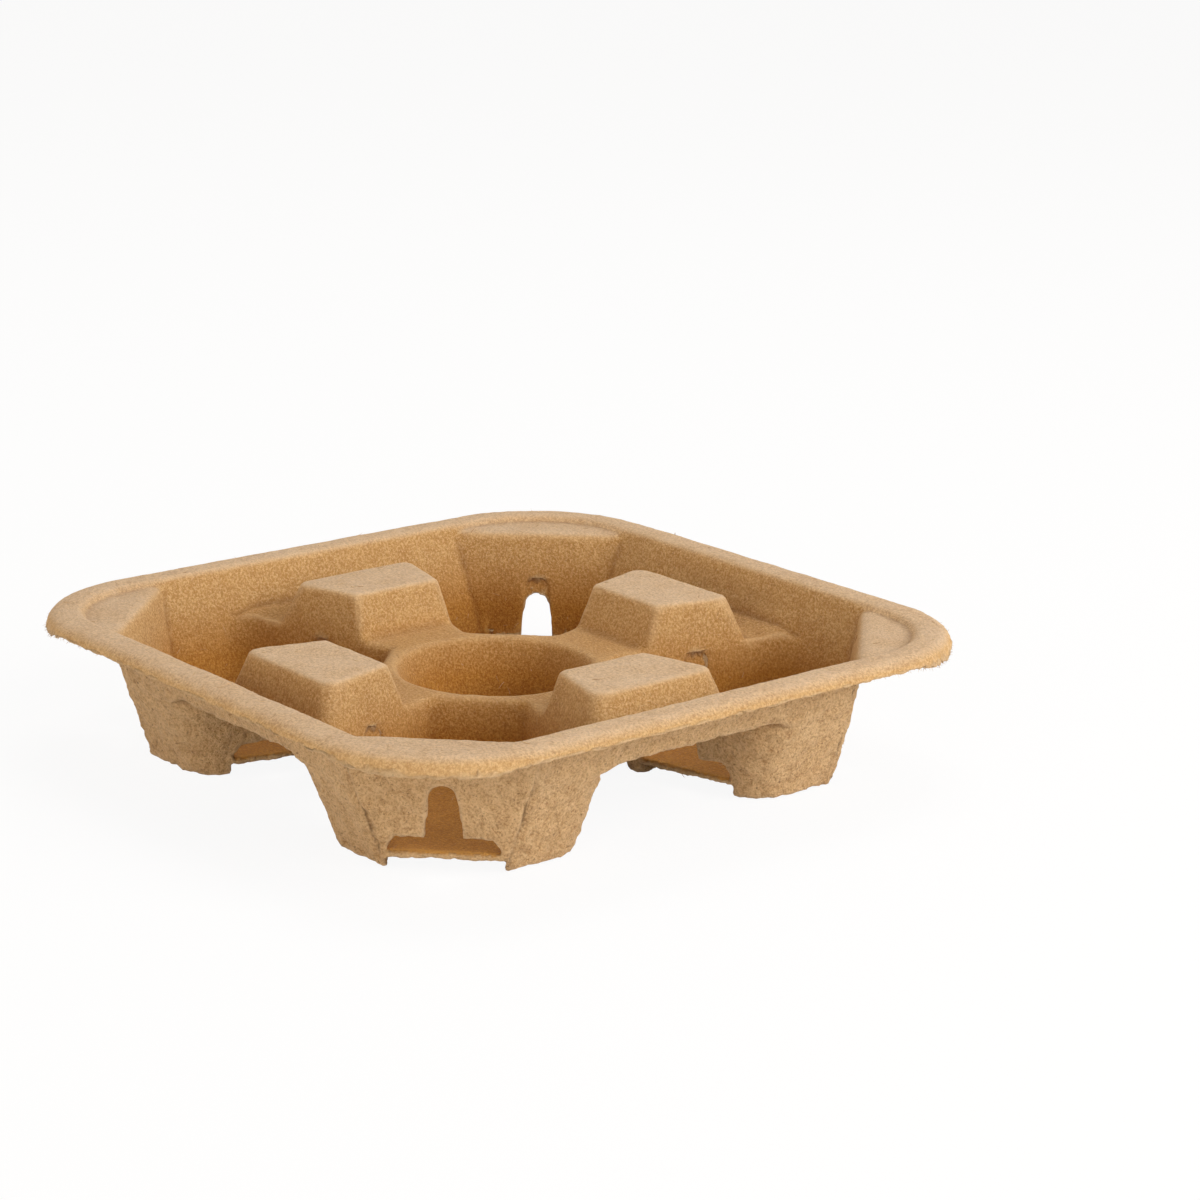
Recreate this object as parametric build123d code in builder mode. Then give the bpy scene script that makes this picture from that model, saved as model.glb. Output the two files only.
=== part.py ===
"""Four-pocket cup carrier, pressed in one piece from paper pulp.

The sheet lies between two skins. Each skin is the boundary of a form, the space
on its cup side, and both forms come from the same sizes: the outside skin as it
is, the inside skin set in by the thickness of the sheet.
"""
import os
from math import cos, radians, sin, sqrt, tan

from build123d import *

# Moulded sheet as a whole
tray_width = 216.0
tray_height = 42.5
tray_corner_share = 0.199
wall = 2.0
overrun = 10.0

# Rolled rim
rim_ledge = 8.8
rim_roll = 4.5
rim_drop = 4.6
rim_inner_round = 3.0

# Side walls
side_draft_angle = 20.0

# Crescent shelves in the tray's corners
shelf_drop = 4.8
shelf_lip_round = 2.0
shelf_overlap = 3.0

# Land between the pockets
land_share = 0.588
land_round = 2.5

# Pockets, as shares of the tray's width: three slotted flats, and between them the
# tray's two side walls and a flat towards the middle, which carry the feet
pocket_pitch_share = 0.4812
slot_flat_share = 0.1296
slot_draft_angle = 12.0
foot_flat_share = 0.1468
foot_draft_angle = 21.0
pocket_corner = 4.0
pocket_side_corner = 13.0
pocket_floor_round = 1.8

# Raised pocket floor between the three feet, as shares of a slotted flat's distance
floor_rise = 3.5
floor_radius_share = 0.68
floor_arm_share = 1.16

# Posts between neighbouring pockets
post_drop = 4.2
post_inner_share = 0.2403
post_end_gap = 20.5
post_draft_angle = 20.0
post_corner = 2.5
post_round = 2.0

# Round well in the middle
ridge_width = 4.1
well_level = 3.0
well_draft_angle = 18.0
well_floor_round = 8.0

# T-shaped cut through each slotted flat, with a thin web in its upper end
notch_low_share = 1.13
notch_high_share = 0.964
notch_top = 9.8
slot_low_share = 0.379
slot_high_share = 0.271
slot_rise = 0.5
slot_round = 3.0
web_height = 10.0
web_arch = 4.2
web_thickness = 0.8
web_grip = 1.0
slot_depth = 14.0

# Levels of the outside skin
shelf_level = tray_height - shelf_drop
land_level = land_share * tray_height
post_level = tray_height - post_drop
slot_top = land_level + slot_rise

# Sizes in plan
tray_corner = tray_corner_share * tray_width
side_half_at_rim = tray_width / 2 - rim_ledge
slot_flat = slot_flat_share * tray_width
foot_flat = foot_flat_share * tray_width
post_inner = post_inner_share * tray_width
pocket_pitch = pocket_pitch_share * tray_width
pocket_reach = pocket_pitch / sqrt(2)


def slope(rise, angle):
    """Sideways run of a drafted wall over a rise."""
    return rise * tan(radians(angle))


def skin(inset, angle):
    """Sideways thickness of a drafted wall."""
    return inset / cos(radians(angle))


def slot_flat_at(level, inset):
    """Distance of a slotted flat from the pocket's middle at a level."""
    return slot_flat + slope(level, slot_draft_angle) - skin(inset, slot_draft_angle)


def foot_flat_at(level, inset):
    """Distance of the inner footed flat from the pocket's middle at a level."""
    return foot_flat + slope(level, foot_draft_angle) - skin(inset, foot_draft_angle)


def side_half_at(level, inset):
    """Distance of a side wall from the tray's middle at a level."""
    drop = tray_height - level
    return side_half_at_rim - slope(drop, side_draft_angle) - skin(inset, side_draft_angle)


def reach(edge):
    """Distance of an edge's middle from the tray's axis."""
    middle = edge.center()
    return sqrt(middle.X**2 + middle.Y**2)


def rises_from(edge, level):
    """Whether an edge starts at a level and climbs."""
    ends = edge.vertices().sort_by(Axis.Z)
    return abs(ends[0].Z - level) < wall < ends[-1].Z - level


def lean(form, level, angle):
    """Lean a straight form's walls outward from a level upward."""
    walls = form.faces().filter_by(Axis.Z, reverse=True)
    draft(walls, Plane.XY.offset(level), -angle)


post_outer = side_half_at(land_level, 0) - post_end_gap
ridge_inside = pocket_reach - foot_flat_at(land_level + wall, wall)
well_radius = ridge_inside - ridge_width + skin(wall, well_draft_angle)


def side_form(inset, top):
    """Space between the four side walls, from the feet to a top level."""
    half = side_half_at(inset, inset)
    corner_centre = tray_width / 2 - tray_corner
    with BuildPart() as form:
        with BuildSketch(Plane.XY.offset(inset)):
            RectangleRounded(2 * half, 2 * half, half - corner_centre)
        extrude(amount=top - inset)
        lean(form, inset, side_draft_angle)
    return form.part


def basin_form(inset, top):
    """Space above the land, closed in the corners below the shelves."""
    land, shelf = land_level + inset, shelf_level + inset
    diagonal = pocket_reach + slot_flat_at(land, inset) - shelf_overlap
    with BuildPart() as form:
        with BuildSketch(Plane.XY.offset(land)):
            Rectangle(tray_width, tray_width)
            Rectangle(2 * diagonal, 2 * diagonal, rotation=45, mode=Mode.INTERSECT)
        extrude(amount=shelf - land)
        with BuildSketch(Plane.XY.offset(shelf)):
            Rectangle(tray_width, tray_width)
        extrude(amount=top - shelf)
    return form.part


def pocket_form(inset, sides):
    """One pocket on its three feet, with the tray's corner along +X."""
    foot = foot_flat_at(inset, inset)
    with BuildPart() as slotted:
        with BuildSketch(Plane.XY.offset(inset)):
            RegularPolygon(slot_flat_at(inset, inset), 3, major_radius=False, rotation=180)
        extrude(amount=post_level)
        lean(slotted, inset, slot_draft_angle)
    with BuildPart() as form:
        with BuildSketch(Plane.XY.offset(inset)):
            with Locations((pocket_pitch / 2 - foot, 0)):
                Rectangle(pocket_pitch, 2 * pocket_pitch)
        extrude(amount=post_level)
        lean(form, inset, foot_draft_angle)
        add(slotted.part, mode=Mode.INTERSECT)
        with Locations(Location((-pocket_reach, 0, 0), (0, 0, 45))):
            add(sides, mode=Mode.INTERSECT)

        # Round corners beside the posts and beside the inner foot
        upright = form.edges().filter_by(Plane.XY, reverse=True)
        fillet(upright.sort_by(lambda edge: abs(edge.center().Y))[-2:], pocket_side_corner - inset)
        fillet(form.edges().filter_by(Plane.XY, reverse=True).sort_by(Axis.X)[:2], pocket_corner)
        fillet(form.faces().sort_by(Axis.Z)[0].edges(), pocket_floor_round)

        # Raised floor between the feet
        with BuildSketch():
            Circle(floor_radius_share * slot_flat + inset)
            with PolarLocations(pocket_reach / 2, 3):
                Rectangle(pocket_reach, floor_arm_share * slot_flat + 2 * inset)
        extrude(amount=floor_rise + inset, mode=Mode.SUBTRACT)
    return form.part


def post_form(inset):
    """Block with sloping ends along +X, which the pockets beside it trim to a post."""
    grow = skin(inset, post_draft_angle)
    low, high = land_level + inset - overrun, post_level + inset
    foot = slope(high - low, post_draft_angle)
    with BuildPart() as form:
        with BuildSketch(Plane.XZ.offset(-pocket_pitch / 2)):
            with BuildLine():
                Polyline(
                    (post_inner - grow, high),
                    (post_outer + grow, high),
                    (post_outer + grow + foot, low),
                    (post_inner - grow - foot, low),
                    close=True,
                )
            make_face()
        extrude(amount=pocket_pitch)
    return form.part


def well_form(inset):
    """Round well below the land."""
    rise = land_level - well_level
    with BuildPart() as form:
        with BuildSketch(Plane.XY.offset(well_level + inset)):
            Circle(well_radius - slope(rise, well_draft_angle) - skin(inset, well_draft_angle))
        extrude(amount=rise, taper=-well_draft_angle)
        fillet(form.faces().sort_by(Axis.Z)[0].edges(), well_floor_round - inset)
    return form.part


def tray_form(inset, top):
    """Space on the cup side of one skin, with its edges rounded."""
    sides = side_form(inset, top)
    basin = basin_form(inset, top)
    post = post_form(inset)
    pocket = pocket_form(inset, sides)
    well = well_form(inset)
    land, shelf, crown = land_level + inset, shelf_level + inset, post_level + inset
    post_middle = (post_inner + post_outer) / 2
    with BuildPart() as form:
        add(basin)
        with PolarLocations(0, 4):
            add(post, mode=Mode.SUBTRACT)
        add(sides, mode=Mode.INTERSECT)
        with PolarLocations(pocket_reach, 4, start_angle=45):
            add(pocket)
        add(well)

        # Rounded lip of each shelf, over its pocket
        lips = form.edges().filter_by_position(Axis.Z, shelf, shelf).group_by(reach)[0]
        fillet(lips, shelf_lip_round + inset)

        # Outer corners of the posts
        corners = form.edges().filter_by(lambda edge: rises_from(edge, land))
        corners = corners.filter_by(lambda edge: post_middle < reach(edge) < side_half_at_rim)
        fillet(corners, post_corner + inset)

        # Inner corners of the posts, and on the cup side the ridges around the well
        corners = form.edges().filter_by(lambda edge: rises_from(edge, land))
        corners = corners.filter_by(lambda edge: reach(edge) < post_middle)
        ridges = form.edges().filter_by_position(Axis.Z, land, land)
        ridges = ridges.filter_by(lambda edge: reach(edge) < post_middle)
        fillet(corners + ridges if inset else corners, land_round)

        # Rounded tops of the posts
        fillet(form.edges().filter_by_position(Axis.Z, crown, crown), post_round)
    return form.part


def rim_form(inset):
    """Solid under the rolled rim, with its rounded outer shoulder."""
    width = tray_width - 2 * inset
    with BuildPart() as form:
        with BuildSketch(Plane.XY.offset(tray_height - rim_drop)):
            RectangleRounded(width, width, tray_corner - inset)
        extrude(amount=rim_drop - inset)
        fillet(form.faces().sort_by(Axis.Z)[-1].edges(), rim_roll - inset)
    return form.part


def slot_form():
    """T-shaped cutters for the three slotted flats of one pocket."""
    floor_top = floor_rise + wall
    notch_low, notch_high = notch_low_share * slot_flat, notch_high_share * slot_flat
    slot_low, slot_high = slot_low_share * slot_flat, slot_high_share * slot_flat
    with BuildPart() as form:
        with BuildSketch(Plane.YZ.offset(slot_flat - slot_depth / 2)) as outline:
            with BuildLine() as right_half:
                Polyline(
                    (0, floor_top),
                    (notch_low / 2, floor_top),
                    (notch_high / 2, notch_top),
                    (slot_low / 2, notch_top),
                    (slot_high / 2, slot_top),
                    (0, slot_top),
                )
                mirror(about=Plane.YZ)
            make_face()
            fillet(outline.vertices().group_by(Axis.Y)[-1], slot_round)
        cutter = extrude(amount=slot_depth)
        with PolarLocations(0, 3):
            add(cutter)
    return form.part


def web_form():
    """Thin arched webs for the upper ends of one pocket's three slots, midway through the sheet."""
    tilt = radians(slot_draft_angle)
    flat = Plane(origin=(slot_flat, 0, 0), x_dir=(0, 1, 0), z_dir=(cos(tilt), 0, -sin(tilt)))
    low, middle = slot_top - web_height, slot_top + (web_grip - web_height) / 2
    with BuildPart() as form:
        with BuildSketch(flat.offset(-(wall + web_thickness) / 2)):
            with Locations((0, middle / cos(tilt))):
                Rectangle(slot_low_share * slot_flat + 2 * web_grip, web_height + web_grip)
            with Locations((0, low / cos(tilt))):
                Circle(web_arch, mode=Mode.SUBTRACT)
        web = extrude(amount=web_thickness)
        with PolarLocations(0, 3):
            add(web)
    return form.part


outside = tray_form(0, tray_height - wall / 2)
inside = tray_form(wall, tray_height + overrun)
rim_outside = rim_form(0)
rim_inside = rim_form(wall)
slots = slot_form()
webs = web_form()

with BuildPart() as cup_carrier:
    add(rim_outside)
    add(rim_inside, mode=Mode.SUBTRACT)
    add(outside)
    add(inside, mode=Mode.SUBTRACT)
    crest = cup_carrier.faces().sort_by(Axis.Z)[-1].inner_wires()[0]
    fillet(crest.edges(), rim_inner_round)
    with PolarLocations(pocket_reach, 4, start_angle=45):
        add(slots, mode=Mode.SUBTRACT)
    with PolarLocations(pocket_reach, 4, start_angle=45):
        add(webs)

cup_carrier.part.label = "cup_carrier"
os.makedirs("parts", exist_ok=True)
export_step(cup_carrier.part, "parts/cup_carrier.step")
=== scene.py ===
# %% [markdown]
# # A cup carrier of moulded paper pulp
# The real thing is one sheet of wet paper fibres, sucked onto a mesh mould and dried.
# The side that lay against the mesh came out fairly smooth. The other side kept the
# lumps, pits and wrinkles of loose pulp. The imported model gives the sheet's true shape
# and place, so this script copies that shape, makes its two skins look like pulp, and
# sets up the studio around it.

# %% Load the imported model
from math import cos, pi, radians, sin

import bmesh
import bpy
import numpy as np
from mathutils import Matrix, Vector, noise


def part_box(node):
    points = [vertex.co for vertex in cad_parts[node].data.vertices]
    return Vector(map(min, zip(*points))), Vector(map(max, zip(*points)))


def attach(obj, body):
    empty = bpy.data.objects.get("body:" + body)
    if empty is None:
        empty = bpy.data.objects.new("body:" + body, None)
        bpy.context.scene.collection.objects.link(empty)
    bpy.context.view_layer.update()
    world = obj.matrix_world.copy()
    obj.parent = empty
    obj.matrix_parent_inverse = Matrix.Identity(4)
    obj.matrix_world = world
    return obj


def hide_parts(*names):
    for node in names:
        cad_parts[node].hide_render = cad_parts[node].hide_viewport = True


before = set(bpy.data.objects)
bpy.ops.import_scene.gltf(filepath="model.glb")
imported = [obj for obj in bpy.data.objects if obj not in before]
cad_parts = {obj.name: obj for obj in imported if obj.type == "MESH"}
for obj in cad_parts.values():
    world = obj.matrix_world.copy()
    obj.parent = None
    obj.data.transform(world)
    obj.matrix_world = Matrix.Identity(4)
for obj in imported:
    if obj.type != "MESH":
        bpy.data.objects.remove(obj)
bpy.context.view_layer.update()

mm = 0.001
scene = bpy.context.scene
sheet_low, sheet_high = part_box("cup_carrier")
tray_width = sheet_high.x - sheet_low.x
tray_height = sheet_high.z - sheet_low.z
print("tray", round(tray_width / mm, 1), "mm wide,", round(tray_height / mm, 1), "mm high")

# %% [markdown]
# ## Small helpers
# Colours are easiest to pick as sRGB hex values, but Blender's sockets want linear light,
# so one function turns the first into the second. Node trees grow long when each node
# takes five lines, so one function adds a node, gives it its settings, and sets or links
# its inputs. A socket passed as a value is linked, and anything else is set as a constant.

# %% Colour and node helpers
def linear(hex_colour):
    """An sRGB hex colour as linear RGBA."""
    channels = [int(hex_colour[i : i + 2], 16) / 255 for i in (1, 3, 5)]
    return [c / 12.92 if c <= 0.04045 else ((c + 0.055) / 1.055) ** 2.4 for c in channels] + [1.0]


def add_node(tree, kind, inputs=None, **settings):
    """Add a node, then set its settings and set or link its inputs."""
    node = tree.nodes.new(kind)
    for name, value in settings.items():
        setattr(node, name, value)
    for key, value in (inputs or {}).items():
        if isinstance(value, bpy.types.NodeSocket):
            tree.links.new(value, node.inputs[key])
        else:
            node.inputs[key].default_value = value
    return node


def add_piece(name, mesh):
    """A new object at the origin that holds a mesh."""
    piece = bpy.data.objects.new(name, mesh)
    scene.collection.objects.link(piece)
    return piece


def baked(piece, name):
    """A piece's mesh as its modifiers leave it, as plain data."""
    bpy.context.view_layer.update()
    depsgraph = bpy.context.evaluated_depsgraph_get()
    mesh = bpy.data.meshes.new_from_object(piece.evaluated_get(depsgraph))
    mesh.name = name
    return mesh


print("kraft brown in linear light:", [round(c, 3) for c in linear("#C2976A")])

# %% [markdown]
# ## Camera
# The photograph looks along the tray's diagonal from a little above. Its camera was found
# by fitting rim, posts, well and feet together: the turn and height of the view, a slight
# roll, the distance and the lens. The tray sits left of and below the middle of the frame,
# so the camera stands off to the side by two offsets, and no lens shift is needed.

# %% Camera at the photograph's angle
view_turn = radians(50.634)
view_height = radians(15.729)
view_roll = radians(0.574)
view_distance = 919.865 * mm
view_offset_right = 31.494 * mm
view_offset_up = 47.227 * mm
view_drop = 2 * mm
lens_mm = 91.8

toward = Vector((sin(view_turn) * cos(view_height), -cos(view_turn) * cos(view_height), sin(view_height)))
level_right = Vector((cos(view_turn), sin(view_turn), 0))
level_up = toward.cross(level_right)
view_right = level_right * cos(view_roll) + level_up * sin(view_roll)
view_up = level_up * cos(view_roll) - level_right * sin(view_roll)

camera_data = bpy.data.cameras.new("studio_camera")
camera_data.lens = lens_mm
camera_data.sensor_fit = "HORIZONTAL"
camera = bpy.data.objects.new("studio_camera", camera_data)
scene.collection.objects.link(camera)
camera_turn = Matrix((view_right, view_up, toward)).transposed()
camera.matrix_world = camera_turn.to_4x4()
camera.location = view_right * view_offset_right + view_up * view_offset_up + toward * view_distance
camera.location.z -= view_drop
scene.camera = camera
scene.view_settings.view_transform = "Standard"
print("camera at", [round(c, 3) for c in camera.location])

# %% [markdown]
# ## Studio
# The photograph has a plain white surround and soft light, mostly from the right and above.
# A pale world, brightest at the horizon, gives the even part of the light. A large lamp at the
# right gives the direction, one above lights the tops, and a low one fills the front walls.
# The floor is pale and keeps a faint shadow: seen by the camera it is mostly a flat white,
# while for the light that bounces up to the tray it is an ordinary pale surface.

# %% Floor
floor_half = 3.0
floor_gap = 0.4 * mm
floor_whiteness = 0.92

floor_mesh = bpy.data.meshes.new("floor")
floor_signs = ((-1, -1), (1, -1), (1, 1), (-1, 1))
floor_mesh.from_pydata([(a * floor_half, b * floor_half, -floor_gap) for a, b in floor_signs], [], [(0, 1, 2, 3)])
floor = add_piece("floor", floor_mesh)


def seen_directly(tree):
    """1 for what the camera sees, also in gloss or through glass, and 0 for light that bounces."""
    path = add_node(tree, "ShaderNodeLightPath").outputs
    seen = add_node(tree, "ShaderNodeMath", {0: path["Is Camera Ray"], 1: path["Is Glossy Ray"]},
                    operation="MAXIMUM")
    return add_node(tree, "ShaderNodeMath", {0: seen.outputs[0], 1: path["Is Transmission Ray"]},
                    operation="MAXIMUM").outputs[0]


floor_paint = bpy.data.materials.new("white_floor_paint")
floor_paint.use_nodes = True
tree = floor_paint.node_tree
tree.nodes.clear()
flat = add_node(tree, "ShaderNodeMath", {0: seen_directly(tree), 1: floor_whiteness}, operation="MULTIPLY")
matt = add_node(tree, "ShaderNodeBsdfDiffuse", {"Color": linear("#F8F4EE")})
white = add_node(tree, "ShaderNodeEmission", {"Strength": 1.0})
mixed = add_node(tree, "ShaderNodeMixShader", {0: flat.outputs[0], 1: matt.outputs[0], 2: white.outputs[0]})
add_node(tree, "ShaderNodeOutputMaterial", {"Surface": mixed.outputs[0]})
floor_mesh.materials.append(floor_paint)
print("floor", 2 * floor_half, "m square")

# %% World and lamps
world = bpy.data.worlds.new("white_studio")
world.use_nodes = True
scene.world = world
tree = world.node_tree
tree.nodes.clear()
horizon_strength, overhead_strength = 1.2, 0.18
horizon_height, overhead_height = 0.05, 0.8
seen = seen_directly(tree)
direction = add_node(tree, "ShaderNodeTexCoord").outputs["Generated"]
upward = add_node(tree, "ShaderNodeSeparateXYZ", {0: direction}).outputs["Z"]
glow = add_node(tree, "ShaderNodeMapRange", {
    "Value": upward, "From Min": horizon_height, "From Max": overhead_height,
    "To Min": horizon_strength, "To Max": overhead_strength,
})
strength = add_node(tree, "ShaderNodeMix", {0: seen, 2: glow.outputs[0], 3: 1.0}, data_type="FLOAT")
tint = add_node(tree, "ShaderNodeMix", {0: seen, 6: linear("#FFF6EC"), 7: linear("#FFFFFF")}, data_type="RGBA")
backdrop = add_node(tree, "ShaderNodeBackground", {"Color": tint.outputs[2], "Strength": strength.outputs[0]})
add_node(tree, "ShaderNodeOutputWorld", {"Surface": backdrop.outputs[0]})


def add_lamp(name, right, front, up, size, power, colour):
    """A square soft lamp that looks at the tray, placed by the photograph's right and front."""
    lamp_data = bpy.data.lights.new(name, "AREA")
    lamp_data.size = size
    lamp_data.energy = power
    lamp_data.color = linear(colour)[:3]
    lamp = bpy.data.objects.new(name, lamp_data)
    scene.collection.objects.link(lamp)
    level_front = Vector((toward.x, toward.y, 0)).normalized()
    lamp.location = level_right * right + level_front * front + Vector((0, 0, up))
    lamp.rotation_euler = (-lamp.location).to_track_quat("-Z", "Y").to_euler()
    return lamp


add_lamp("key_lamp", 1.0, 0.5, 0.65, 0.7, 11.5, "#FBFCFF")
add_lamp("top_lamp", 0.1, -0.5, 1.4, 0.8, 7.0, "#FBFCFF")
add_lamp("low_lamp", -0.55, 0.8, 0.15, 0.6, 2.8, "#FFF6EA")

# %% [markdown]
# ## The moulded sheet
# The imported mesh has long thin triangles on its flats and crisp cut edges. Pulp has neither:
# every edge is a little soft, and every surface a little uneven. A voxel remesh of a merged
# copy gives small even faces and soft edges in one step. Sculpting by hand would not repeat,
# and bump alone would leave the outline of the sheet too clean.

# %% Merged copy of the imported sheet
merge_gap = 0.002 * mm

sheet_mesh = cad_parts["cup_carrier"].data.copy()
sheet_mesh.name = "pulp_sheet"
joined = bmesh.new()
joined.from_mesh(sheet_mesh)
bmesh.ops.remove_doubles(joined, verts=joined.verts, dist=merge_gap)
joined.to_mesh(sheet_mesh)
joined.free()
pulp_sheet = add_piece("pulp_sheet", sheet_mesh)
print("merged sheet:", len(sheet_mesh.vertices), "points")

# %% [markdown]
# ## The torn slot
# The mould leaves a thin web of pulp in the upper end of every slot. In the front pocket's outer
# slot that web is torn out, and one looks through into the pocket. A Boolean with a prism of the
# slot's outline opens it. Deleting faces would leave the wall's two skins apart at the edge.

# %% Cutter for the front slot
pocket_middle = 51.97 * mm
slot_low, slot_high, slot_top = (5.3 * mm, 9.0 * mm), (3.8 * mm, 22.0 * mm), 3.5 * mm
slot_reach = (22.5 * mm, 44.5 * mm)
arch_steps = 8

arch_turns = [pi * i / arch_steps for i in range(arch_steps + 1)]
arch = [(slot_high[0] * cos(turn), slot_high[1] + slot_top * sin(turn)) for turn in arch_turns]
slot_outline = [(-slot_low[0], slot_low[1]), slot_low] + arch
pocket_axis = Vector((pocket_middle, -pocket_middle, 0))
outward, sideways = Vector((1, -1, 0)).normalized(), Vector((1, 1, 0)).normalized()
cut = bmesh.new()
ends = [[cut.verts.new(pocket_axis + outward * reach + sideways * a + Vector((0, 0, b))) for a, b in slot_outline]
        for reach in slot_reach]
cut.faces.new(ends[0])
cut.faces.new(ends[1])
for i in range(len(slot_outline)):
    cut.faces.new((ends[0][i - 1], ends[0][i], ends[1][i], ends[1][i - 1]))
bmesh.ops.recalc_face_normals(cut, faces=cut.faces)
cut_mesh = bpy.data.meshes.new("slot_cut")
cut.to_mesh(cut_mesh)
cut.free()
slot_cut = add_piece("slot_cut", cut_mesh)
print("slot cutter:", len(cut_mesh.polygons), "faces")

# %% Open the slot and even the mesh
voxel = 0.5 * mm

torn_open = pulp_sheet.modifiers.new("torn_open", "BOOLEAN")
torn_open.operation = "DIFFERENCE"
torn_open.solver = "EXACT"
torn_open.object = slot_cut
remesh = pulp_sheet.modifiers.new("even_faces", "REMESH")
remesh.mode = "VOXEL"
remesh.voxel_size = voxel
pulp_sheet.data = baked(pulp_sheet, "pulp_sheet")
pulp_sheet.modifiers.clear()
bpy.data.objects.remove(slot_cut)
print("even sheet:", len(pulp_sheet.data.polygons), "faces")

# %% [markdown]
# ## Drying
# Wet pulp shrinks and pulls as it dries. The lip of the rim ends up higher along the straight
# sides than round the corners, it tears at two of the corners, and the land curves up where it
# meets a side wall. These are small moves of the even mesh, each faded in by where a point is,
# and they carry both skins along, so that the sheet keeps its thickness.

# %% Points of the even mesh
def fade(value, start, end):
    """A smooth step from 0 at start to 1 at end."""
    share = np.clip((value - start) / (end - start), 0, 1)
    return share * share * (3 - 2 * share)


corner_centre, corner_blend = 65 * mm, 18 * mm

point_count = len(pulp_sheet.data.vertices)
points = np.empty(point_count * 3, dtype=np.float32)
pulp_sheet.data.vertices.foreach_get("co", points)
points = points.reshape(-1, 3).astype(float)
x, y, z = points.T
past_x, past_y = np.maximum(abs(x) - corner_centre, 0), np.maximum(abs(y) - corner_centre, 0)
in_corner = fade(np.minimum(past_x, past_y), 0, corner_blend)
print("even sheet:", point_count, "points")

# %% Lip of the rim: higher along the sides, torn at two corners, uneven at the other two
lip_reach, lip_level = (36 * mm, 39 * mm), (41.5 * mm, 38.2 * mm)
side_lift, corner_sag = 1.0 * mm, 0.9 * mm
tear_height, tear_size, tear_bias = 2.4 * mm, 2.2 * mm, 0.15
torn_share, uneven_share = 1.0, 0.25

on_lip = fade(np.hypot(past_x, past_y), *lip_reach) * fade(z, *lip_level)
lift = on_lip * (side_lift * (1 - in_corner) - corner_sag * in_corner)
torn = np.where(x * y > 0, torn_share, uneven_share) * in_corner
for i in np.flatnonzero(on_lip * torn > 0.01):
    spot = Vector(points[i] / tear_size)
    spot.z = 0
    lift[i] += on_lip[i] * torn[i] * tear_height * max(noise.fractal(spot, 1.0, 2.0, 3) + tear_bias, 0)
print("the lip moves by", round(abs(lift).max() / mm, 2), "mm at most")

# %% Land, left side and front pocket
land_lift = 2.0 * mm
land_along, land_across = (82 * mm, 93 * mm), (34 * mm, 26 * mm)
land_from, land_to = (20 * mm, 24 * mm), (34 * mm, 29 * mm)
left_sag, left_reach, left_level = 0.8 * mm, (40 * mm, 105 * mm), (26 * mm, 34 * mm)
pocket_pinch, pinch_along, pinch_level = 2.2 * mm, (62 * mm, 78 * mm), (31 * mm, 22 * mm)
pinch_near, pinch_far = (-48 * mm, -37 * mm), (-17 * mm, -23 * mm)

# The land curves up into the side walls between the pockets, and the far left side hangs a little
for along, across in ((abs(x), abs(y)), (abs(y), abs(x))):
    near_wall = fade(along, *land_along) * fade(across, *land_across)
    lift += land_lift * near_wall * fade(z, *land_from) * fade(z, *land_to)
lift -= left_sag * fade(-x, *left_reach) * fade(z, *left_level)

# The front pocket is pinched beside its two posts
for along, across, row, sign in ((x, y, 1, -1), (-y, -x, 0, 1)):
    beside_post = fade(across, *pinch_near) * fade(across, *pinch_far)
    points[:, row] += sign * pocket_pinch * beside_post * fade(along, *pinch_along) * fade(z, *pinch_level)
print("land, left side and front pocket moved, by", round(abs(lift).max() / mm, 2), "mm at most")

# %% Corner shelves and back pocket
shelf_lift, front_share = 1.7 * mm, 0.3
shelf_outside, shelf_inside = (36 * mm, 33 * mm), (104 * mm, 109 * mm)
shelf_foot, shelf_foot_height = 29 * mm, 7 * mm
shelf_rim, shelf_rim_height = 41.5 * mm, 3.8 * mm
notch_fill, notch_wall = 4.2 * mm, (96 * mm, 99 * mm)
notch_near, notch_far = (3.6 * mm, 5.2 * mm), (17.5 * mm, 15.5 * mm)
notch_edge, notch_end, notch_height = (8.4 * mm, 9.2 * mm), 21 * mm, 11 * mm

# The corner shelves come up towards the rim, least at the front
from_axis = (abs(x) + abs(y)) / 2**0.5
on_shelf = fade(np.hypot(past_x, past_y), *shelf_outside) * fade(from_axis, *shelf_inside)
above_foot = np.clip((z - shelf_foot) / shelf_foot_height, 0, 1)
below_rim = np.clip((shelf_rim - z) / shelf_rim_height, 0, 1)
lift += shelf_lift * on_shelf * above_foot * below_rim * np.where((x > 0) & (y < 0), front_share, 1.0)

# The wide notch at the foot of the back pocket is partly filled
beside = abs(x + y) / 2**0.5
back_wall = fade((y - x) / 2**0.5, *notch_wall) * fade(beside, *notch_near) * fade(beside, *notch_far)
lift -= notch_fill * back_wall * np.clip((notch_end - z) / notch_height, 0, 1) * fade(z, *notch_edge)

points[:, 2] += lift
pulp_sheet.data.vertices.foreach_set("co", points.astype(np.float32).ravel())
pulp_sheet.data.update()
print("drying moves a point by", round(abs(lift).max() / mm, 2), "mm at most")

# %% [markdown]
# ## Creases
# On the outer skin the sheet wrinkled where the mould turns sharply: down the two outer corners
# of each pocket, and in short folds on the land at the posts' outer ends. The webs in the inner
# slots are cracked along both their sides. All of these are plain polylines, in millimetres,
# and the relief below reads how far a point is from the nearest one.

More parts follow.
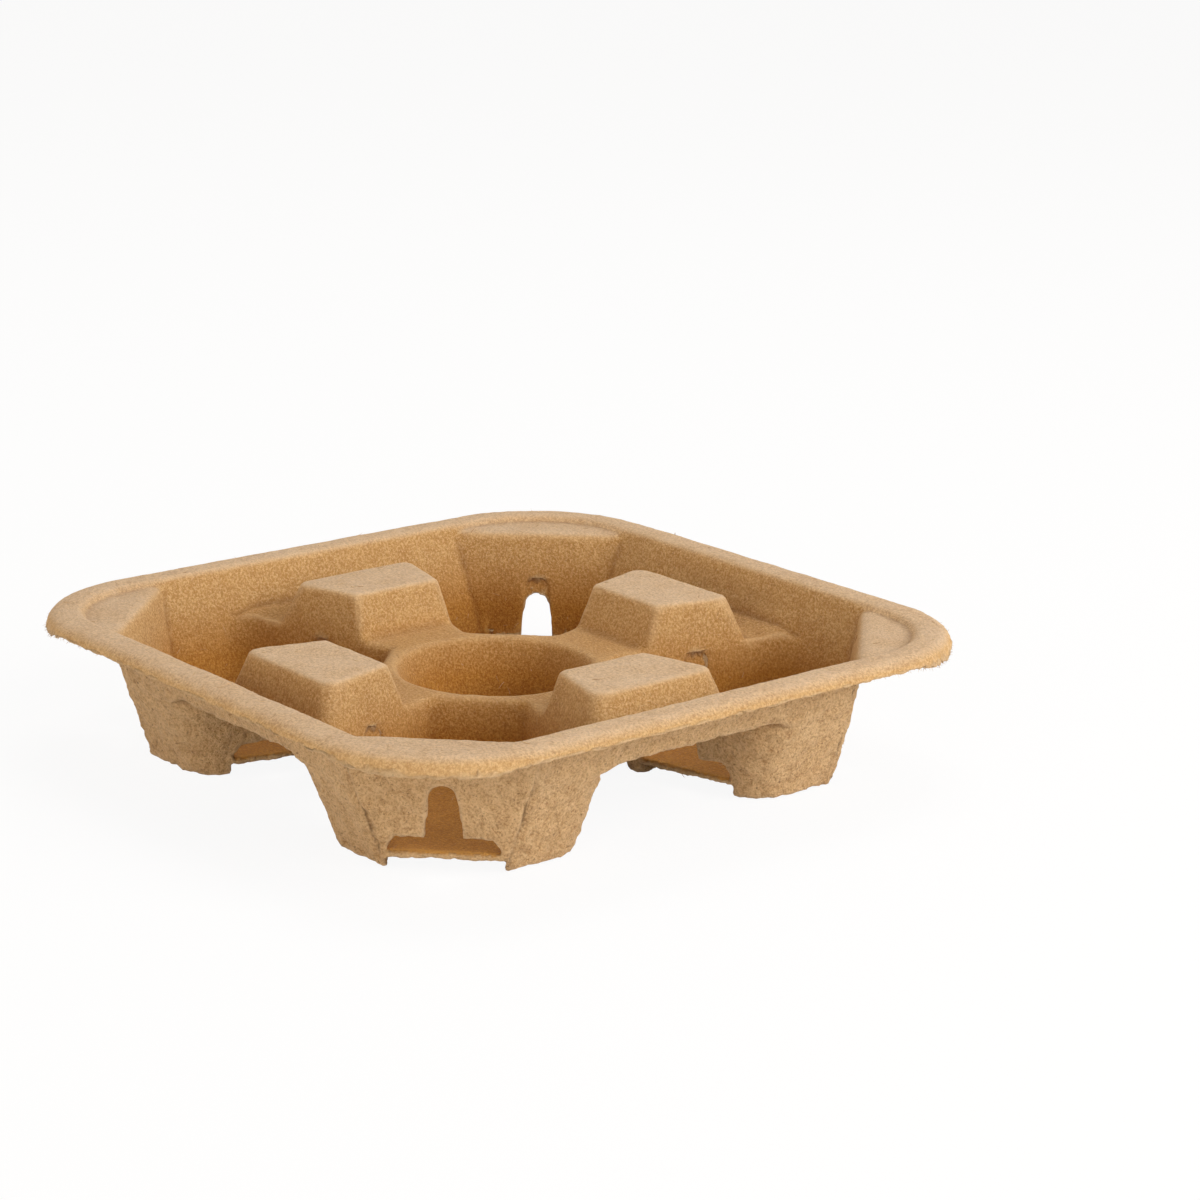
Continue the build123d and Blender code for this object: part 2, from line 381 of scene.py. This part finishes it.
# %% Crease lines
corner_foot, corner_top = (84.2, 59.4, 1.5), (95.2, 57.8, 31.0)
fold_lines = [
    [(76, -16, 27), (83, -19, 27.5), (90, -22, 30)],
    [(79, 12, 27), (85, 17, 28), (91, 19, 31)],
    [(-14, 77, 27), (-18, 84, 27.5), (-20, 92, 31)],
    [(-77, 10, 27), (-84, 15, 28), (-91, 16, 32)],
    [(13, -77, 27), (17, -85, 28), (19, -92, 31)],
]
crease_lines = []
for side_x in (1, -1):
    for side_y in (1, -1):
        for swap in (False, True):
            line = [(a[1], a[0], a[2]) if swap else a for a in (corner_foot, corner_top)]
            crease_lines.append([(a * side_x, b * side_y, c) for a, b, c in line])
crease_lines += fold_lines

# The inner webs of every pocket are cracked along both their sides
pocket_centre, flat_reach, flat_lean = 73.5, 28.0, 0.2126
crack_low, crack_high = (4.7, 17.0), (3.7, 28.5)
for corner in range(4):
    outer_turn = pi / 4 + corner * pi / 2
    middle = Vector((cos(outer_turn), sin(outer_turn), 0)) * pocket_centre
    for inner_turn in (outer_turn + 2 * pi / 3, outer_turn - 2 * pi / 3):
        along = Vector((cos(inner_turn), sin(inner_turn), 0))
        across = Vector((-sin(inner_turn), cos(inner_turn), 0))
        for side in (1, -1):
            crack = [middle + along * (flat_reach + up * flat_lean) + across * side * half + Vector((0, 0, up))
                     for half, up in (crack_low, crack_high)]
            crease_lines.append(crack)

line_points, line_edges = [], []
for line in crease_lines:
    first = len(line_points)
    line_points += [Vector(point) * mm for point in line]
    line_edges += [(first + i, first + i + 1) for i in range(len(line) - 1)]
crease_mesh = bpy.data.meshes.new("crease_lines")
crease_mesh.from_pydata(line_points, line_edges, [])
creases = add_piece("crease_lines", crease_mesh)
print(len(crease_lines), "crease lines")

# %% [markdown]
# ## Two skins
# The cup side of every wall leans upward and the outer side leans downward, so the direction
# of a face tells which skin it is on. A Geometry Nodes tree moves the surface along its normal:
# a low swell on both skins, felt on the cup side, and lumps, pits and creases on the outer one.
# It also stores what the material needs: which skin it is, where the surface stands out
# or lies in a hollow, where it is creased, and how far it faces up.

# %% Relief of the pulp
def tree_input(tree, name, value, kind="NodeSocketFloat"):
    """A named input that a modifier can set, with its starting value."""
    socket = tree.interface.new_socket(name=name, in_out="INPUT", socket_type=kind)
    if value is not None:
        socket.default_value = value
    return socket


def new_tree(name):
    """An empty Geometry Nodes tree with a geometry in and out."""
    tree = bpy.data.node_groups.new(name, "GeometryNodeTree")
    tree.interface.new_socket(name="Geometry", in_out="INPUT", socket_type="NodeSocketGeometry")
    tree.interface.new_socket(name="Geometry", in_out="OUTPUT", socket_type="NodeSocketGeometry")
    return tree


relief = new_tree("pulp_relief")
relief_sizes = {
    "Swell size": 13 * mm,
    "Swell height": 0.6 * mm,
    "Lump size": 4.2 * mm,
    "Lump height": 2.0 * mm,
    "Felt size": 3.0 * mm,
    "Felt height": 0.3 * mm,
    "Pit spacing": 3.4 * mm,
    "Pit depth": 0.7 * mm,
    "Crease width": 1.9 * mm,
    "Crease depth": 1.4 * mm,
    "Crease waver": 5.0 * mm,
}
relief_inputs = {name: tree_input(relief, name, value) for name, value in relief_sizes.items()}
relief_lines = tree_input(relief, "Crease lines", None, "NodeSocketObject")
source = add_node(relief, "NodeGroupInput").outputs
position = add_node(relief, "GeometryNodeInputPosition").outputs[0]
normal = add_node(relief, "GeometryNodeInputNormal").outputs[0]


def combine(first, operation, second):
    """Two numbers of the relief joined by one sum or product."""
    return add_node(relief, "ShaderNodeMath", {0: first, 1: second}, operation=operation).outputs[0]


def grain_height(size, height, detail, shift):
    """A noise with a grain of a given size, scaled to plus and minus half a height."""
    shifted = add_node(relief, "ShaderNodeVectorMath", {0: position, 1: (shift, 0, 0)}, operation="ADD")
    grain = add_node(relief, "ShaderNodeTexNoise", {
        "Vector": shifted.outputs[0],
        "Scale": combine(1.0, "DIVIDE", source[size]),
        "Detail": detail,
    })
    return combine(combine(grain.outputs[0], "SUBTRACT", 0.5), "MULTIPLY", source[height])


def from_range(value, low, high):
    """A number faded from 0 at one value to 1 at another."""
    return add_node(relief, "ShaderNodeMapRange", {"Value": value, "From Min": low, "From Max": high},
                    interpolation_type="SMOOTHSTEP").outputs[0]


skin_lean, skin_blur, stand_blur = (-0.18, 0.02), 5, 14
waver_size, pit_bowl_share = 7 * mm, (0.06, 0.32)

# Which skin a point is on
lean = add_node(relief, "ShaderNodeSeparateXYZ", {0: normal}).outputs["Z"]
soft_lean = add_node(relief, "GeometryNodeBlurAttribute", {"Value": lean, "Iterations": skin_blur},
                     data_type="FLOAT")
outer_skin = combine(1.0, "SUBTRACT", from_range(soft_lean.outputs[0], *skin_lean))

# How far a point stands out from the points around it
around = add_node(relief, "GeometryNodeBlurAttribute", {"Value": position, "Iterations": stand_blur},
                  data_type="FLOAT_VECTOR")
apart = add_node(relief, "ShaderNodeVectorMath", {0: position, 1: around.outputs[0]}, operation="SUBTRACT")
standing = add_node(relief, "ShaderNodeVectorMath", {0: apart.outputs[0], 1: normal}, operation="DOT_PRODUCT")

# How near a point is to a crease, with the line made to waver
waver_noise = add_node(relief, "ShaderNodeTexNoise", {"Vector": position, "Scale": 1 / waver_size, "Detail": 3.0})
waver = add_node(relief, "ShaderNodeVectorMath", {0: waver_noise.outputs["Color"], 1: (0.5, 0.5, 0.5)},
                 operation="SUBTRACT")
waver = add_node(relief, "ShaderNodeVectorMath", {0: waver.outputs[0], "Scale": source["Crease waver"]},
                 operation="SCALE")
wavered = add_node(relief, "ShaderNodeVectorMath", {0: position, 1: waver.outputs[0]}, operation="ADD")
lines = add_node(relief, "GeometryNodeObjectInfo", {"Object": source["Crease lines"]})
nearest = add_node(relief, "GeometryNodeProximity", {0: lines.outputs["Geometry"]}, target_element="EDGES")
relief.links.new(wavered.outputs[0], nearest.inputs[2])
crease = combine(1.0, "SUBTRACT", from_range(nearest.outputs["Distance"], 0.0, source["Crease width"]))

# Heights
swell = grain_height("Swell size", "Swell height", 2.0, 0.0)
felt = grain_height("Felt size", "Felt height", 2.0, 0.9)
lumps = grain_height("Lump size", "Lump height", 3.0, 0.4)
pit_cells = add_node(relief, "ShaderNodeTexVoronoi", {
    "Vector": position,
    "Scale": combine(1.0, "DIVIDE", source["Pit spacing"]),
})
pit_bowl = combine(1.0, "SUBTRACT", from_range(pit_cells.outputs["Distance"], *pit_bowl_share))
rough = combine(lumps, "SUBTRACT", combine(pit_bowl, "MULTIPLY", source["Pit depth"]))
height = combine(combine(swell, "ADD", felt), "ADD", combine(rough, "MULTIPLY", outer_skin))
height = combine(height, "SUBTRACT", combine(crease, "MULTIPLY", source["Crease depth"]))
offset = add_node(relief, "ShaderNodeVectorMath", {0: normal, "Scale": height}, operation="SCALE")

# Marks for the material, then the move itself
marked = source["Geometry"]
marks = {
    "outer_skin": outer_skin,
    "standing": standing.outputs["Value"],
    "crease": crease,
    "facing_up": soft_lean.outputs[0],
}
for name, value in marks.items():
    marked = add_node(relief, "GeometryNodeStoreNamedAttribute", {"Geometry": marked, "Name": name, "Value": value},
                      data_type="FLOAT", domain="POINT").outputs[0]
moved = add_node(relief, "GeometryNodeSetPosition", {"Geometry": marked, "Offset": offset.outputs[0]})
add_node(relief, "NodeGroupOutput", {0: moved.outputs[0]})
print("relief tree has", len(relief.nodes), "nodes")

# %% Relief on the sheet
triangle_goal = 190000

uneven = pulp_sheet.modifiers.new("pulp_relief", "NODES")
uneven.node_group = relief
for name, socket in relief_inputs.items():
    uneven[socket.identifier] = relief_sizes[name]
uneven[relief_lines.identifier] = creases
thin = pulp_sheet.modifiers.new("fewer_faces", "DECIMATE")
thin.ratio = triangle_goal / (2 * len(pulp_sheet.data.polygons))
pulp_sheet.data = baked(pulp_sheet, "pulp_sheet")
pulp_sheet.modifiers.clear()
bpy.data.objects.remove(creases)
for vertex in pulp_sheet.data.vertices:
    vertex.co.z = max(vertex.co.z, 0.0)
pulp_sheet.data.polygons.foreach_set("use_smooth", [True] * len(pulp_sheet.data.polygons))
print("finished sheet:", len(pulp_sheet.data.polygons), "triangles")

# %% [markdown]
# ## Moulded pulp
# Recycled kraft fibre, pressed wet and dried: matt, brown, with short fibres lying every way,
# paler where they stand up, and dark specks of bark and ink. Fibres show as thin streaks in
# noise that is stretched in three directions. The outer skin is rougher and more mottled, and is
# made paler, partly as painted light for the light its walls catch. Tops that face up and edges
# that stand out get a painted highlight, hollows and creases get painted shade, and down in the
# pockets and the well painted shade makes the pulp darker and browner.

# %% Pulp material
pulp = bpy.data.materials.new("moulded_pulp")
pulp.use_nodes = True
tree = pulp.node_tree
tree.nodes.clear()
place = add_node(tree, "ShaderNodeTexCoord").outputs["Object"]
skin = add_node(tree, "ShaderNodeAttribute", attribute_name="outer_skin").outputs["Fac"]
stand = add_node(tree, "ShaderNodeAttribute", attribute_name="standing").outputs["Fac"]
creased = add_node(tree, "ShaderNodeAttribute", attribute_name="crease").outputs["Fac"]
facing_up = add_node(tree, "ShaderNodeAttribute", attribute_name="facing_up").outputs["Fac"]
level = add_node(tree, "ShaderNodeSeparateXYZ", {0: place}).outputs["Z"]


def pulp_noise(size, detail, roughness=0.5, stretch=(1, 1, 1), turn=(0, 0, 0)):
    """A noise with a grain of a real size, stretched and turned."""
    mapped = add_node(tree, "ShaderNodeMapping", {"Vector": place, "Rotation": turn, "Scale": stretch})
    grains = add_node(tree, "ShaderNodeTexNoise",
                      {"Vector": mapped.outputs[0], "Scale": 1 / size, "Detail": detail, "Roughness": roughness})
    return grains.outputs[0]


def ramp(value, low, high, to_low=0.0, to_high=1.0):
    """A value stretched from one range to another."""
    return add_node(tree, "ShaderNodeMapRange", {"Value": value, "From Min": low, "From Max": high,
                                                 "To Min": to_low, "To Max": to_high}).outputs[0]


def blend(amount, first, second, kind="MIX"):
    """Two colours mixed by an amount."""
    return add_node(tree, "ShaderNodeMix", {0: amount, 6: first, 7: second},
                    data_type="RGBA", blend_type=kind).outputs[2]


def math(operation, first, second):
    """Two numbers joined by one sum or product."""
    return add_node(tree, "ShaderNodeMath", {0: first, 1: second}, operation=operation).outputs[0]


fibre_length, fibre_stretch = 2.6 * mm, 6.0
mottle_size, grain_size, clump_size, dash_length = 12 * mm, 0.75 * mm, 3.2 * mm, 1.9 * mm
streaks = [
    pulp_noise(fibre_length, 2.0, 0.6, (1, fibre_stretch, fibre_stretch), (0.3, 0.2, 0.4)),
    pulp_noise(fibre_length, 2.0, 0.6, (fibre_stretch, 1, fibre_stretch), (0.2, 0.5, 0.1)),
    pulp_noise(fibre_length, 2.0, 0.6, (fibre_stretch, fibre_stretch, 1), (0.6, 0.1, 0.3)),
]
fibres = math("MAXIMUM", math("MAXIMUM", streaks[0], streaks[1]), streaks[2])
mottle = pulp_noise(mottle_size, 5.0, 0.6)
grain = pulp_noise(grain_size, 4.0, 0.75)
clumps = pulp_noise(clump_size, 4.0, 0.65)
dashes = pulp_noise(dash_length, 1.0, 0.4, (1, 2.6, 1.8), (0.5, 0.3, 0.9))
rough_share = ramp(skin, 0, 1, 0.45, 1.0)

inside = blend(ramp(mottle, 0.3, 0.7), linear("#BF9153"), linear("#CA9E61"))
# The outer skin's colour is made paler, partly as painted light for the light its walls catch
outer_colour_with_painted_light = blend(ramp(mottle, 0.3, 0.7), linear("#DCB480"), linear("#E8C493"))
# Painted highlight: tops that face up are made paler and greyer, for the sheen of the light from above
painted_top_sheen = blend(ramp(mottle, 0.3, 0.7), linear("#CDAB84"), linear("#D7BA98"))
top_sheen_mask = math("MULTIPLY", ramp(level, 32 * mm, 37 * mm), ramp(facing_up, 0.55, 0.9))
# Painted shade: low in the pockets and the well, on the cup side, the colour is made darker and browner
deep_painted_shade = math("MULTIPLY", ramp(level, 33 * mm, 16 * mm), ramp(skin, 0.0, 0.6, 1.0, 0.0))
colour = blend(skin, inside, outer_colour_with_painted_light)
colour = blend(top_sheen_mask, colour, painted_top_sheen)
colour = blend(math("MULTIPLY", ramp(clumps, 0.56, 0.3, 0.0, 0.5), rough_share), colour, linear("#9F6D3A"))
colour = blend(ramp(grain, 0.47, 0.68, 0.0, 0.75), colour, linear("#E8C594"))
colour = blend(ramp(fibres, 0.60, 0.78, 0.0, 0.6), colour, linear("#EACB9C"))
dark_grain = math("MULTIPLY", ramp(grain, 0.54, 0.28), ramp(skin, 0, 1, 0.55, 0.75))
colour = blend(dark_grain, colour, linear("#8F5C22"))
colour = blend(math("MULTIPLY", ramp(dashes, 0.70, 0.76, 0.0, 0.6), rough_share), colour, linear("#744A24"))
# Painted highlight: points that stand out from their surroundings are made paler
colour = blend(ramp(stand, 0.05 * mm, 0.30 * mm, 0.0, 0.45), colour, linear("#E2C298"))
# Painted shade: points that lie in a hollow are made darker
colour = blend(ramp(stand, -0.04 * mm, -0.25 * mm, 0.0, 0.55), colour, linear("#86572B"))
# Painted shade: the creases and the cracked edges of the webs are darkened
painted_crease_shade = math("MULTIPLY", ramp(creased, 0.55, 0.9), ramp(clumps, 0.42, 0.56, 0.05, 0.6))
colour = blend(painted_crease_shade, colour, linear("#66401A"))
# The painted shade deep in the pockets and the well is multiplied in here
colour = blend(deep_painted_shade, colour, linear("#E4C683"), "MULTIPLY")

bumps = math("ADD", math("MULTIPLY", grain, ramp(skin, 0, 1, 0.5, 2.0)),
             math("ADD", math("MULTIPLY", fibres, 0.8), math("MULTIPLY", clumps, ramp(skin, 0, 1, 0.3, 4.2))))
bump = add_node(tree, "ShaderNodeBump", {"Height": bumps, "Strength": 0.75, "Distance": 1.0 * mm})
surface = add_node(tree, "ShaderNodeBsdfPrincipled", {
    "Base Color": colour,
    "Roughness": ramp(grain, 0.3, 0.7, 0.55, 0.75),
    "Normal": bump.outputs[0],
    "Specular IOR Level": 0.15,
    "Sheen Weight": 0.05,
    "Sheen Roughness": 0.6,
})
add_node(tree, "ShaderNodeOutputMaterial", {"Surface": surface.outputs[0]})
pulp_sheet.data.materials.clear()
pulp_sheet.data.materials.append(pulp)
print("pulp material has", len(tree.nodes), "nodes")

# %% [markdown]
# ## Paper fibres
# Where the lip was torn, single fibres hang out of the edge, and a few lie loose on the skins.
# Each is a thin bent hair that tapers to its tip, so one small shape serves for all, and
# Geometry Nodes set it along the lip and over the sheet with random lengths and directions.

# %% One fibre, and its material
fibre_rings, fibre_sides, fibre_bend, fibre_thickness = 4, 3, 0.22, 0.045
fibre_points, fibre_faces = [], []
for ring in range(fibre_rings):
    share = ring / fibre_rings
    for side in range(fibre_sides):
        turn = 2 * pi * side / fibre_sides
        radius = fibre_thickness * (1 - 0.7 * share)
        fibre_points.append((radius * cos(turn) + fibre_bend * share**2, radius * sin(turn), share))
for ring in range(fibre_rings - 1):
    for side in range(fibre_sides):
        low, following = ring * fibre_sides, (side + 1) % fibre_sides
        high = low + fibre_sides
        fibre_faces.append((low + side, low + following, high + following, high + side))
fibre_points.append((fibre_bend, 0, 1))
last_ring = (fibre_rings - 1) * fibre_sides
fibre_faces += [(last_ring + side, last_ring + (side + 1) % fibre_sides, len(fibre_points) - 1)
                for side in range(fibre_sides)]
fibre_faces.append(tuple(reversed(range(fibre_sides))))
fibre_mesh = bpy.data.meshes.new("fibre")
fibre_mesh.from_pydata(fibre_points, [], fibre_faces)
fibre = add_piece("fibre", fibre_mesh)

paper = bpy.data.materials.new("kraft_fibre")
paper.use_nodes = True
tree = paper.node_tree
tree.nodes.clear()
tone = add_node(tree, "ShaderNodeAttribute", attribute_name="tone").outputs["Fac"]
fibre_colour = add_node(tree, "ShaderNodeMix", {0: tone, 6: linear("#A0713C"), 7: linear("#D6B384")},
                        data_type="RGBA")
surface = add_node(tree, "ShaderNodeBsdfPrincipled", {"Base Color": fibre_colour.outputs[2], "Roughness": 0.8})
add_node(tree, "ShaderNodeOutputMaterial", {"Surface": surface.outputs[0]})
print("one fibre has", len(fibre_faces), "faces")

# %% Trees that lay the fibres
def random_value(tree, kind, low, high, seed):
    """A random number or direction with a fixed seed."""
    first, out = (0, 0) if kind == "FLOAT_VECTOR" else (2, 1)
    picked = add_node(tree, "FunctionNodeRandomValue", {first: low, first + 1: high, "Seed": seed},
                      data_type=kind)
    return picked.outputs[out]


def lay_fibres(tree, points, direction, shortest, longest, shape_input, chosen, seed):
    """Set a fibre on each point, then turn the lot into plain mesh with its material."""
    spin = random_value(tree, "FLOAT_VECTOR", (0, 0, 0), (6.28, 6.28, 6.28), seed)
    turned = add_node(tree, "FunctionNodeAlignRotationToVector", {"Rotation": spin, "Vector": direction}, axis="Z")
    length = random_value(tree, "FLOAT", shortest, longest, seed + 1)
    shape = add_node(tree, "GeometryNodeObjectInfo", {"Object": shape_input})
    set_out = add_node(tree, "GeometryNodeInstanceOnPoints", {
        "Points": points,
        "Selection": chosen,
        "Instance": shape.outputs["Geometry"],
        "Rotation": turned.outputs[0],
        "Scale": length,
    })
    toned = add_node(tree, "GeometryNodeStoreNamedAttribute",
                     {"Geometry": set_out.outputs[0], "Name": "tone",
                      "Value": random_value(tree, "FLOAT", 0.0, 1.0, seed + 2)},
                     data_type="FLOAT", domain="INSTANCE")
    plain = add_node(tree, "GeometryNodeRealizeInstances", {"Geometry": toned.outputs[0]})
    painted = add_node(tree, "GeometryNodeSetMaterial", {"Geometry": plain.outputs[0], "Material": paper})
    add_node(tree, "NodeGroupOutput", {0: painted.outputs[0]})


def tree_piece(name, tree, values):
    """A piece made by a tree alone: its inputs are set first, and its modifier goes at the end."""
    piece = add_piece(name, bpy.data.meshes.new(name))
    laid = piece.modifiers.new(name, "NODES")
    laid.node_group = tree
    for socket, value in values:
        laid[socket.identifier] = value
    piece.data = baked(piece, name)
    piece.modifiers.clear()
    return piece


print("fibres take the material", paper.name)

# %% Frayed lip of the rim
fray = new_tree("rim_fray")
fray_sizes = {
    "Path width": tray_width - 1.5 * mm,
    "Corner radius": 42 * mm,
    "Level": 37.0 * mm,
    "Shortest": 0.4 * mm,
    "Longest": 1.4 * mm,
}
fray_inputs = {name: tree_input(fray, name, value) for name, value in fray_sizes.items()}
fray_sheet = tree_input(fray, "Sheet", None, "NodeSocketObject")
fray_fibre = tree_input(fray, "Fibre", None, "NodeSocketObject")
fray_count = 3000
given = add_node(fray, "NodeGroupInput").outputs
path = add_node(fray, "GeometryNodeCurvePrimitiveQuadrilateral",
                {"Width": given["Path width"], "Height": given["Path width"]})
path = add_node(fray, "GeometryNodeFilletCurve",
                {"Curve": path.outputs[0], "Radius": given["Corner radius"], "Count": 24}, mode="POLY")
spots = add_node(fray, "GeometryNodeCurveToPoints", {"Curve": path.outputs[0], "Count": fray_count},
                 mode="COUNT")
level = add_node(fray, "ShaderNodeCombineXYZ", {"Z": given["Level"]})
shaken = add_node(fray, "ShaderNodeVectorMath", {
    0: level.outputs[0],
    1: random_value(fray, "FLOAT_VECTOR", (-0.0012, -0.0012, -0.0008), (0.0012, 0.0012, 0.0012), 21),
}, operation="ADD")
spots = add_node(fray, "GeometryNodeSetPosition", {"Geometry": spots.outputs[0], "Offset": shaken.outputs[0]})
sheet_face = add_node(fray, "GeometryNodeObjectInfo", {"Object": given["Sheet"]})
on_sheet = add_node(fray, "GeometryNodeProximity", {0: sheet_face.outputs["Geometry"]}, target_element="FACES")
spots = add_node(fray, "GeometryNodeSetPosition",
                 {"Geometry": spots.outputs[0], "Position": on_sheet.outputs["Position"]})

# Thick at the two torn corners, thin elsewhere
here = add_node(fray, "GeometryNodeInputPosition").outputs[0]
parts = add_node(fray, "ShaderNodeSeparateXYZ", {0: here}).outputs
product = add_node(fray, "ShaderNodeMath", {0: parts["X"], 1: parts["Y"]}, operation="MULTIPLY")
chance = add_node(fray, "ShaderNodeMapRange", {
    "Value": product.outputs[0], "From Min": 0.0055, "From Max": 0.0085, "To Min": 0.05, "To Max": 0.8,
})
dice = random_value(fray, "FLOAT", 0.0, 1.0, 31)
kept = add_node(fray, "FunctionNodeCompare", {0: dice, 1: chance.outputs[0]},
                data_type="FLOAT", operation="LESS_THAN")
outward = add_node(fray, "ShaderNodeVectorMath", {0: here, 1: (6, 6, 0)}, operation="MULTIPLY")
hanging = add_node(fray, "ShaderNodeVectorMath", {
    0: outward.outputs[0],
    1: random_value(fray, "FLOAT_VECTOR", (-0.9, -0.9, -1.5), (0.9, 0.9, 0.1), 41),
}, operation="ADD")
lay_fibres(fray, spots.outputs[0], hanging.outputs[0], given["Shortest"], given["Longest"], given["Fibre"],
           kept.outputs[0], 51)
fray_values = [(fray_inputs[name], fray_sizes[name]) for name in fray_sizes]
rim_fray = tree_piece("rim_fray", fray, fray_values + [(fray_sheet, pulp_sheet), (fray_fibre, fibre)])
print("frayed rim:", len(rim_fray.data.polygons), "faces")

# %% Loose fibres on both skins
above_floor = 3 * mm

loose = new_tree("loose_fibres")
loose_sizes = {"Fibres per square metre": 14000.0, "Shortest": 0.8 * mm, "Longest": 3.0 * mm}
loose_inputs = {name: tree_input(loose, name, value) for name, value in loose_sizes.items()}
loose_sheet = tree_input(loose, "Sheet", None, "NodeSocketObject")
loose_fibre = tree_input(loose, "Fibre", None, "NodeSocketObject")
given = add_node(loose, "NodeGroupInput").outputs
sheet_face = add_node(loose, "GeometryNodeObjectInfo", {"Object": given["Sheet"]})
spots = add_node(loose, "GeometryNodeDistributePointsOnFaces",
                 {"Mesh": sheet_face.outputs["Geometry"], "Density": given["Fibres per square metre"], "Seed": 7})
across = add_node(loose, "ShaderNodeVectorMath", {
    0: spots.outputs["Normal"],
    1: random_value(loose, "FLOAT_VECTOR", (-1, -1, -1), (1, 1, 1), 61),
}, operation="CROSS_PRODUCT")
here = add_node(loose, "GeometryNodeInputPosition").outputs[0]
level = add_node(loose, "ShaderNodeSeparateXYZ", {0: here}).outputs["Z"]
clear = add_node(loose, "FunctionNodeCompare", {0: level, 1: above_floor},
                 data_type="FLOAT", operation="GREATER_THAN")
lay_fibres(loose, spots.outputs[0], across.outputs[0], given["Shortest"], given["Longest"], given["Fibre"],
           clear.outputs[0], 71)
loose_values = [(loose_inputs[name], loose_sizes[name]) for name in loose_sizes]
loose_fibres = tree_piece("loose_fibres", loose, loose_values + [(loose_sheet, pulp_sheet), (loose_fibre, fibre)])
bpy.data.objects.remove(fibre)
print("loose fibres:", len(loose_fibres.data.polygons), "faces")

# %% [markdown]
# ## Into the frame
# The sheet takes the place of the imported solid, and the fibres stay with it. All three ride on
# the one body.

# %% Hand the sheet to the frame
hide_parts("cup_carrier")
for piece in (pulp_sheet, rim_fray, loose_fibres):
    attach(piece, "root")
    print(piece.name, "has", len(piece.data.polygons), "faces")
